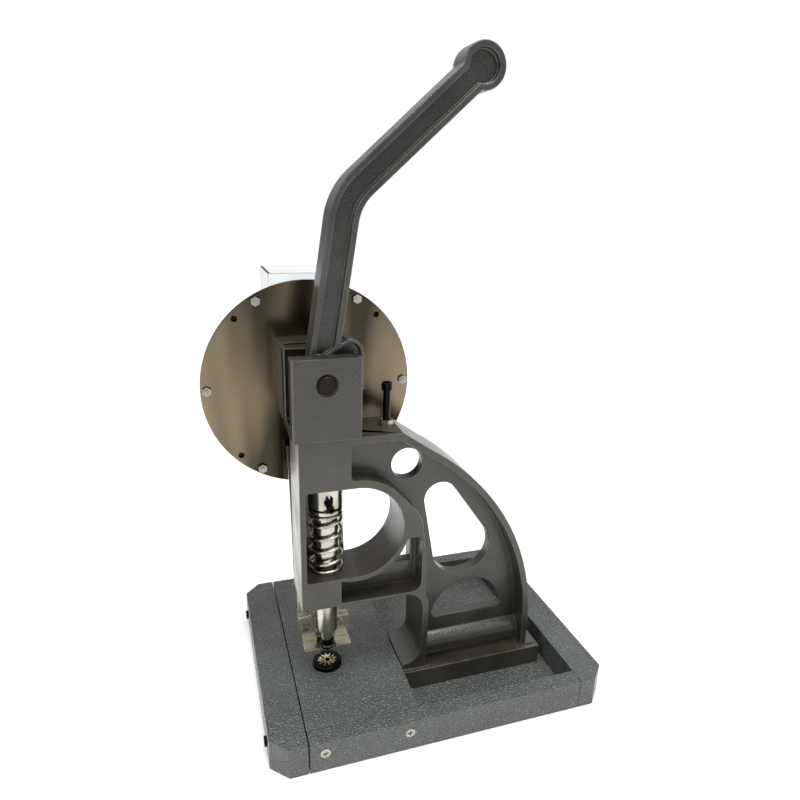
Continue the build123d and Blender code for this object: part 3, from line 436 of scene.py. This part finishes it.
def clear_acrylic(name, dusty, clean):
    """Clear sheet, faintly scuffed."""
    made, tree, shader = start_material(name, IOR=1.49, Transmission_Weight=1.0)
    place = add(tree, "ShaderNodeTexCoord")
    scuff = add(tree, "ShaderNodeTexNoise", {"Scale": grains_of(scuff_mm), "Detail": 4.0, "Roughness": 0.7},
                {"Vector": place.outputs["Object"]})
    tint = add(tree, "ShaderNodeValToRGB", (), {"Fac": scuff.outputs["Fac"]}, ((0.3, dusty), (0.7, clean)))
    tree.links.new(tint.outputs["Color"], shader.inputs["Base Color"])
    rough = add(tree, "ShaderNodeMapRange",
                {"From Min": 0.4, "From Max": 0.7, "To Min": 0.03, "To Max": 0.12},
                {"Value": scuff.outputs["Fac"]})
    tree.links.new(rough.outputs["Result"], shader.inputs["Roughness"])
    return made


acrylic = clear_acrylic("clear_acrylic_sheet", "#F2F5F7", "#FBFCFC")
print(acrylic.name)

# %% [markdown]
# ## Moulded plastic
# The rotor wheel and its knob are moulded black plastic. The mould is spark-eroded, so the surface
# is dull, with a fine even grain just under a millimetre wide.


# %% Moulded plastic
moulded_grain_mm = 0.8
moulded_relief = 0.08 * MM


def moulded_black(name, dark, light):
    """Black plastic with a fine moulded grain."""
    made, tree, shader = start_material(name, IOR=1.5)
    place = add(tree, "ShaderNodeTexCoord")
    grain = add(tree, "ShaderNodeTexNoise", {"Scale": grains_of(moulded_grain_mm), "Detail": 1.0},
                {"Vector": place.outputs["Object"]})
    tint = add(tree, "ShaderNodeValToRGB", (), {"Fac": grain.outputs["Fac"]}, ((0.3, dark), (0.7, light)))
    tree.links.new(tint.outputs["Color"], shader.inputs["Base Color"])
    rough = add(tree, "ShaderNodeMapRange",
                {"From Min": 0.3, "From Max": 0.7, "To Min": 0.42, "To Max": 0.55},
                {"Value": grain.outputs["Fac"]})
    tree.links.new(rough.outputs["Result"], shader.inputs["Roughness"])
    bump = add(tree, "ShaderNodeBump", {"Strength": 0.3, "Distance": moulded_relief},
               {"Height": grain.outputs["Fac"]})
    tree.links.new(bump.outputs["Normal"], shader.inputs["Normal"])
    return made


rotor_black = moulded_black("moulded_black_plastic", "#151515", "#1E1E1E")
print(rotor_black.name)

# %% [markdown]
# ## Floor
# A matt disc, 18 m wide, so its edge never shows. It glows very faintly, which hides the line where
# it meets the white backdrop, and it lies a hair under the base so the two never flicker.

# %% Floor
floor_radius = 9.0
floor_gap = 0.2 * MM
floor_tone_mm = 400.0
bpy.ops.object.select_all(action="DESELECT")
bpy.ops.mesh.primitive_circle_add(
    vertices=96, radius=floor_radius, fill_type="NGON", location=(0, 0, -floor_gap))
floor = bpy.context.object
bpy.ops.object.transform_apply(location=True, rotation=True, scale=True)
floor.name = "floor"
floor_matt, floor_tree, floor_shader = start_material(
    "pale_matt_floor", Roughness=0.8, Emission_Color=(1.0, 1.0, 1.0, 1.0), Emission_Strength=0.14)
floor_place = add(floor_tree, "ShaderNodeTexCoord")
floor_tone = add(floor_tree, "ShaderNodeTexNoise", {"Scale": grains_of(floor_tone_mm), "Detail": 1.0},
                 {"Vector": floor_place.outputs["Object"]})
floor_tint = add(floor_tree, "ShaderNodeValToRGB", (), {"Fac": floor_tone.outputs["Fac"]},
                 ((0.3, "#F3F3F2"), (0.7, "#F6F6F5")))
floor_tree.links.new(floor_tint.outputs["Color"], floor_shader.inputs["Base Color"])
floor.data.materials.append(floor_matt)
print("floor", floor.dimensions.x)

# %% [markdown]
# ## Merged copies
# The engineering mesh is loose triangles, which no modifier can round. A copy of it is merged into
# one skin, and the triangles of each flat face are joined again.


# %% Merged copies
merge_distance = 0.002 * MM
flat_within = radians(0.5)


def select_only(piece):
    """Makes one object the only selected one."""
    bpy.ops.object.select_all(action="DESELECT")
    piece.hide_set(False)
    piece.select_set(True)
    bpy.context.view_layer.objects.active = piece


def merged_copy(node, name):
    """A copy of a CAD node's mesh as one skin with joined flat faces."""
    piece = bpy.data.objects.new(name, nodes[node].data.copy())
    bpy.context.scene.collection.objects.link(piece)
    piece.data.name = name
    piece.data.materials.clear()
    select_only(piece)
    bpy.ops.object.mode_set(mode="EDIT")
    bpy.ops.mesh.select_all(action="SELECT")
    bpy.ops.mesh.remove_doubles(threshold=merge_distance)
    bpy.ops.mesh.customdata_custom_splitnormals_clear()
    bpy.ops.mesh.dissolve_limited(angle_limit=flat_within)
    bpy.ops.object.mode_set(mode="OBJECT")
    return piece


print("merge within", merge_distance / MM, "mm")

# %% [markdown]
# ## Softened edges
# No real edge is knife-sharp. A Bevel modifier rounds each edge, so that it catches the light, and
# the bevel's faces can take their own finish, which is how paint looks thin there. Weighted normals
# then keep the large flat faces flat in the light, with all the turning left to the bevels.


# %% Softened edges
edge_from = radians(32)
smooth_below = radians(35)


def soften(piece, width_mm, segments, edge_finish):
    """Rounds the sharp edges and shades the rest smooth."""
    select_only(piece)
    rounding = piece.modifiers.new("edge_round", "BEVEL")
    rounding.width = width_mm * MM
    rounding.segments = segments
    rounding.limit_method = "ANGLE"
    rounding.angle_limit = edge_from
    rounding.use_clamp_overlap = False
    rounding.material = edge_finish
    rounding.miter_outer = "MITER_ARC"
    bpy.ops.object.modifier_apply(modifier="edge_round")
    bpy.ops.object.shade_smooth_by_angle(angle=smooth_below)
    flatten = piece.modifiers.new("flat_faces", "WEIGHTED_NORMAL")
    flatten.keep_sharp = True
    flatten.weight = 100
    bpy.ops.object.modifier_apply(modifier="flat_faces")


print("edges sharper than", round(edge_from, 2), "radians are rounded")

# %% [markdown]
# ## Skins
# A skin is a softened copy that stands for its node: it takes the node's place and rides on the
# node's body. Its finishes are a list, and a rule may say which one each face takes. Unless it is
# told otherwise, a bevel takes the finish of the faces beside it.


# %% Skins
as_beside = -1


def skin_of(node, finishes, width_mm, segments=2, edge_finish=as_beside, finish_of=None):
    """A softened copy in a node's place. finish_of gives a face's place in the list of finishes."""
    piece = merged_copy(node, node + "_skin")
    for finish in finishes:
        piece.data.materials.append(finish)
    if finish_of:
        for face in piece.data.polygons:
            face.material_index = finish_of(face)
    soften(piece, width_mm, segments, edge_finish)
    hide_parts(node)
    body = next(name for name, members in frame["record"]["behaviour"]["bodies"].items() if node in members)
    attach(piece, body)
    print(piece.name, "faces", len(piece.data.polygons), "on", body)


# %% [markdown]
# ## Base tray
# Four bars, a floor plate and the table block are cut from plate and sprayed before they are
# screwed together, so each has its own rounded edges and a seam shows between them.

# %% Base tray
for node in ("base_floor_plate", "base_front_bar", "base_rear_bar", "base_right_bar", "base_left_bar",
             "table_block"):
    skin_of(node, [base_paint], 0.7)

# %% [markdown]
# ## Press frame
# The frame is one painted casting. The column's front face is milled after painting, so it is bare:
# its faces look forward and lie at the very front. Each casting's list of finishes has its paint,
# the worn paint of its edges, and then the finish of its special faces.

# %% Press frame
paint, edges, special, slot_black = 0, 1, 2, 3
front_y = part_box("frame_casting")[0].y
milled_depth = 0.1 * MM


def frame_finish(face):
    """Bare metal on the milled front face."""
    return special if face.normal.y < -0.99 and face.center.y < front_y + milled_depth else paint


skin_of("frame_casting", [casting_paint, worn_paint, milled_steel], 0.9,
        edge_finish=edges, finish_of=frame_finish)

# %% [markdown]
# ## Clevis
# The clevis is a block with two ears, and the lever turns on a pin between them. The slot between
# the ears and the narrow ring round the pin are drawn near black, up to just below the block's top.

# %% Clevis
clevis_low, clevis_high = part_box("clevis_block")
pin_low, pin_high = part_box("pivot_pin")
pin_middle = ((pin_low + pin_high) / 2).yz
frame_x = (clevis_low.x + clevis_high.x) / 2
slot_reach = 12.5 * MM
ring_reach = 9 * MM
ring_largest = 250 * MM * MM
top_margin = 1 * MM


def clevis_finish(face):
    """Near black in the slot and on the small faces round the pin."""
    in_slot = abs(face.center.x - frame_x) < slot_reach and face.center.z < clevis_high.z - top_margin
    round_pin = (face.center.yz - pin_middle).length < ring_reach and face.area < ring_largest
    return special if in_slot or round_pin else paint


skin_of("clevis_block", [chipped_paint, worn_paint, near_black_slot_iron], 0.8,
        edge_finish=edges, finish_of=clevis_finish)

# %% [markdown]
# ## Drum bracket
# The bracket carries the drum and houses the feeder's arms in a roofed pocket. The pocket is drawn
# near black: its faces lie more than a millimetre within the bracket's walls and roof.

# %% Drum bracket
bracket_low, bracket_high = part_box("drum_bracket")
wall_margin = 1 * MM


def bracket_finish(face):
    """Near black on the faces inside the pocket."""
    middle = face.center
    past_wall = middle.x > bracket_low.x + wall_margin
    within = bracket_low.y + wall_margin < middle.y < bracket_high.y - wall_margin
    under_roof = middle.z < bracket_high.z - wall_margin
    return special if past_wall and within and under_roof else paint


skin_of("drum_bracket", [casting_paint, worn_paint, near_black_slot_iron], 0.8,
        edge_finish=edges, finish_of=bracket_finish)

# %% [markdown]
# ## Lever
# The lever is one casting with a sunk panel on each side. The panel is drawn darker, as painted
# shade, and its faces are those that look sideways from below the rim. The round of its hub, which
# turns in the slot, is drawn near black.

# %% Lever
lever_low, lever_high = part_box("lever_handle")
hub_reach = 16 * MM
rim_depth = 1 * MM


def lever_finish(face):
    """Near black round the hub, and darker paint in the sunk panels as painted shade."""
    if (face.center.yz - pin_middle).length < hub_reach and abs(face.normal.x) < 0.5:
        return slot_black
    below_rim = lever_low.x + rim_depth < face.center.x < lever_high.x - rim_depth
    # Darker paint on the sunk panels is painted shade.
    return special if abs(face.normal.x) > 0.99 and below_rim else paint


skin_of("lever_handle", [lever_paint, worn_paint, recess_painted_shade, near_black_slot_iron], 1.0,
        segments=3, edge_finish=edges, finish_of=lever_finish)

# %% [markdown]
# ## Steel, brass and plastic pieces
# Turned, ground and cut pieces only need their edges broken, by a fraction of a millimetre.

# %% Steel, brass and plastic pieces
for node, finish, width_mm, finish_slot in (
    ("upper_bushing", plated_steel, 0.3, "nickel_steel"),
    ("lower_bushing", plated_steel, 0.3, "nickel_steel"),
    ("ram_shaft", plated_steel, 0.3, "nickel_steel"),
    ("punch", black_oxide_and_hole_shade, 0.2, "black_oxide"),
    ("punch_ring", plated_steel, 0.2, "nickel_steel"),
    ("spring_collar", plated_steel, 0.3, "nickel_steel"),
    ("lower_die", black_oxide_and_hole_shade, 0.4, "black_oxide"),
    ("die_crown", brass, 0.1, "brass_crown"),
    ("jaw_carrier", dull_nickel, 0.5, "nickel_steel"),
    ("front_jaw", dull_nickel, 0.5, "nickel_steel"),
    ("rear_jaw", dull_nickel, 0.5, "nickel_steel"),
    ("feed_chute", dull_nickel, 0.4, "nickel_steel"),
    ("drum_back_plate", disc_steel, 0.5, "drum_steel"),
    ("rotor_knob", rotor_black, 1.0, "rotor_plastic"),
    ("pivot_pin", pin_steel, 0.3, "pin_steel"),
    ("drum_cover", acrylic, 0.5, "clear_plastic"),
    ("hopper", acrylic, 0.4, "clear_plastic"),
):
    skin_of(node, [finish], width_mm)

# %% [markdown]
# ## Drum casing
# The casing's flange is drawn black where it lies against the back plate, as painted shade in the
# plate's four empty holes.

# %% Drum casing
casing_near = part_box("drum_casing")[1].x
hole_shade_black = 1
flange_depth = 0.1 * MM


def casing_finish(face):
    """Black on the flange's face behind the plate's holes, as painted shade in them; brushed sheet elsewhere.
    """
    return hole_shade_black if face.normal.x > 0.99 and face.center.x > casing_near - flange_depth else 0


# The flange's face behind the plate's holes takes the black oxide finish as painted shade.
skin_of("drum_casing", [drum_steel, black_oxide_and_hole_shade], 0.5, finish_of=casing_finish)

# %% [markdown]
# ## Small hardware
# Screws, nuts, links and the rotor keep the engineering shapes and only take a finish.

# %% Small hardware
hardware_finishes = {
    black_oxide_and_hole_shade: ("cross_screw", "stop_screw", "feed_crank", "feed_link", "feed_arm", "foot_bolts",
                  "clevis_screws", "base_front_bolts"),
    zinc_steel: ("stop_lock_nut", "chute_standoffs", "front_jaw_screw", "rear_jaw_screw", "base_side_screws",
                 "drum_screws", "drum_nuts", "cover_screws"),
    plated_steel: ("rotor_shaft",),
    rotor_black: ("rotor_wheel",),
}
for finish, names in hardware_finishes.items():
    for name in names:
        nodes[name].data.materials.clear()
        nodes[name].data.materials.append(finish)
print("hardware", sum(len(names) for names in hardware_finishes.values()))

# %% [markdown]
# ## Return spring
# A compression spring has closed end turns that lie flat, and open turns between them. Its wire is
# one round curve that climbs slowly at both ends and evenly between them. It is 2.6 mm thick, and
# the engineering spring's box gives the width and the height.

# %% Sizes of the return spring
spring_low, spring_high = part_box("return_spring")
spring_centre = (spring_low + spring_high) / 2
wire_r = 1.3 * MM
coil_r = (spring_high.x - spring_low.x) / 2 - wire_r
open_turns = 4.0
end_turns = 0.9
total_turns = open_turns + 2 * end_turns
wire_start = radians(200)
rise_low = spring_low.z + wire_r
rise_high = spring_high.z - wire_r
end_rise = wire_r * 2 * end_turns


def wire_height(turns):
    """Height of the wire's middle after so many turns from the seat."""
    if turns < end_turns:
        return rise_low + end_rise * turns / end_turns
    if turns > total_turns - end_turns:
        return rise_high - end_rise * (total_turns - turns) / end_turns
    share = (turns - end_turns) / open_turns
    return rise_low + end_rise + (rise_high - rise_low - 2 * end_rise) * share


print("coil radius", round(coil_r / MM, 2), "mm, turns", total_turns)

# %% Wire of the return spring
step_count = int(total_turns * 24)
spring_curve = bpy.data.curves.new("return_spring_coil", "CURVE")
spring_curve.dimensions = "3D"
spring_curve.bevel_depth = wire_r
spring_curve.bevel_resolution = 4
spring_curve.use_fill_caps = True
wire = spring_curve.splines.new("POLY")
wire.points.add(step_count)
for step in range(step_count + 1):
    turns = total_turns * step / step_count
    angle = 2 * pi * turns + wire_start
    wire_x = spring_centre.x + coil_r * cos(angle)
    wire_y = spring_centre.y + coil_r * sin(angle)
    wire.points[step].co = (wire_x, wire_y, wire_height(turns), 1)
return_coil = bpy.data.objects.new("return_spring_coil", spring_curve)
bpy.context.scene.collection.objects.link(return_coil)
select_only(return_coil)
bpy.ops.object.convert(target="MESH")
return_coil = bpy.context.object
bpy.ops.object.shade_smooth_by_angle(angle=radians(60))
return_coil.data.materials.append(spring_steel)
print(return_coil.name, "faces", len(return_coil.data.polygons))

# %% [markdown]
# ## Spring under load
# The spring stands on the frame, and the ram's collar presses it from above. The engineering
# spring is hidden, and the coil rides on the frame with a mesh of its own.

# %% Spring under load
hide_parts("return_spring")
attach(return_coil, "press_frame")
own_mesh(return_coil)
